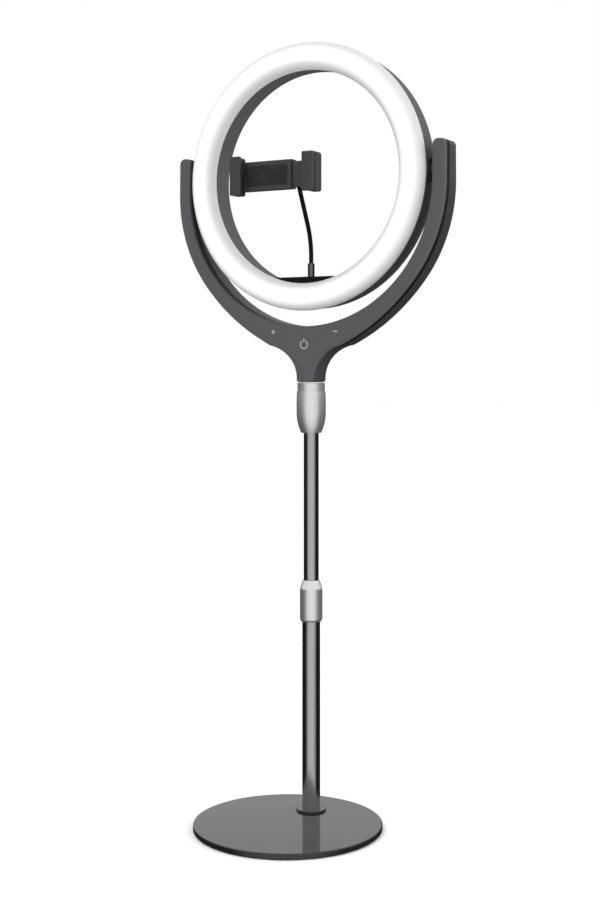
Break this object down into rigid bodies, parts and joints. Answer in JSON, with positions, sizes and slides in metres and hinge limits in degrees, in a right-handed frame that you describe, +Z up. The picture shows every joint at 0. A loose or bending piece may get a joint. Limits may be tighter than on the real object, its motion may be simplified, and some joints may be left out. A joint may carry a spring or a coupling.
{
  "type": "ring light",
  "caption": "Tilting ring lamp in a curved yoke with a phone clamp on a gooseneck, on a telescopic pole with a round weighted base.",
  "frame": {"origin": "centre of the base disc, on the floor", "axes": "+Z up the pole, -Y towards the front of the lamp, +X to the right seen from the front"},
  "size_m": [0.324, 0.195, 0.8168],
  "materials": {
    "gloss_black_steel": "gloss black enamel",
    "dark_tube": "satin black plating, drawn lengthwise",
    "satin_silver": "satin anodised",
    "plain_steel": "zinc plated",
    "brass_insert": "plain turned",
    "rubber": "matt",
    "charcoal_plastic": "fine moulded grain",
    "black_plastic": "moulded, satin",
    "opal_plastic": "opal, smooth, lit from inside",
    "sign_plastic": "clear grey, flush",
    "white_board": "white solder mask",
    "green_board": "green solder mask",
    "led_face": "yellow phosphor window",
    "nylon": "natural",
    "lead_jacket": "matt"
  },
  "bodies": {
    "base": {"base_plate": "gloss_black_steel", "base_pad": "rubber", "pole_washer": "plain_steel", "pole_screw": "plain_steel", "foot_plug": "plain_steel", "lower_tube": "dark_tube", "foot_flange": "gloss_black_steel", "lock_bush": "satin_silver", "lock_collet": "nylon"},
    "twist_lock": {"lock_collar": "satin_silver"},
    "mast": {"guide_plug": "nylon", "upper_tube": "dark_tube", "neck_barrel": "satin_silver", "neck_ring": "satin_silver", "swivel_stud": "plain_steel", "swivel_washer": "nylon", "swivel_nut": "plain_steel"},
    "yoke": {"yoke_cover": "charcoal_plastic", "yoke_shell": "charcoal_plastic", "plus_sign": "sign_plastic", "power_sign": "sign_plastic", "minus_sign": "sign_plastic", "cover_screws": "plain_steel", "neck_insert": "brass_insert", "touch_board": "green_board", "power_socket": "black_plastic", "arm_lead": "lead_jacket", "pivot_bush_left": "nylon", "pivot_bush_right": "nylon"},
    "lamp": {"lamp_shell": "charcoal_plastic", "diffuser": "opal_plastic", "led_board": "white_board", "led_chips": "led_face", "board_screws": "plain_steel", "pivot_hub_left": "black_plastic", "pivot_hub_right": "black_plastic", "hub_nuts": "plain_steel", "pivot_washers": "plain_steel", "pivot_nuts": "plain_steel", "stem_insert": "brass_insert", "stem_ferrule": "plain_steel", "gooseneck": "rubber", "ball_stud": "black_plastic"},
    "ball_ring": {"ball_nut": "black_plastic"},
    "clamp": {"socket_cup": "black_plastic", "holder_back": "black_plastic", "holder_front": "black_plastic", "holder_screws": "plain_steel", "holder_pad": "rubber", "fixed_jaw": "charcoal_plastic", "fixed_pad": "rubber", "jaw_springs": "plain_steel"},
    "jaw": {"sliding_jaw": "charcoal_plastic", "sliding_pad": "rubber"}
  },
  "joints": [
    {"name": "mast_slide", "type": "slide", "parent": "base", "child": "mast", "axis": [0, 0, 1], "range_m": [-0.15, 0.02]},
    {"name": "collar_twist", "type": "hinge", "parent": "base", "child": "twist_lock", "pos_m": [0, 0.048, 0.2285], "axis": [0, 0, 1], "range_deg": [0, 90]},
    {"name": "yoke_pan", "type": "hinge", "parent": "mast", "child": "yoke", "pos_m": [0, 0.048, 0.4598], "axis": [0, 0, 1], "continuous": true},
    {"name": "lamp_tilt", "type": "hinge", "parent": "yoke", "child": "lamp", "pos_m": [0, 0.048, 0.6759], "axis": [1, 0, 0], "range_deg": [-90, 90]},
    {"name": "clamp_tilt", "type": "hinge", "parent": "lamp", "child": "ball_ring", "pos_m": [0, -0.0047, 0.6717], "axis": [1, 0, 0], "range_deg": [-20, 20]},
    {"name": "clamp_turn", "type": "hinge", "parent": "ball_ring", "child": "clamp", "pos_m": [0, -0.0047, 0.6717], "axis": [0, 1, 0], "range_deg": [-90, 90]},
    {"name": "jaw_slide", "type": "slide", "parent": "clamp", "child": "jaw", "axis": [1, 0, 0], "range_m": [-0.022, 0.008], "deforming": ["jaw_springs"]}
  ]
}
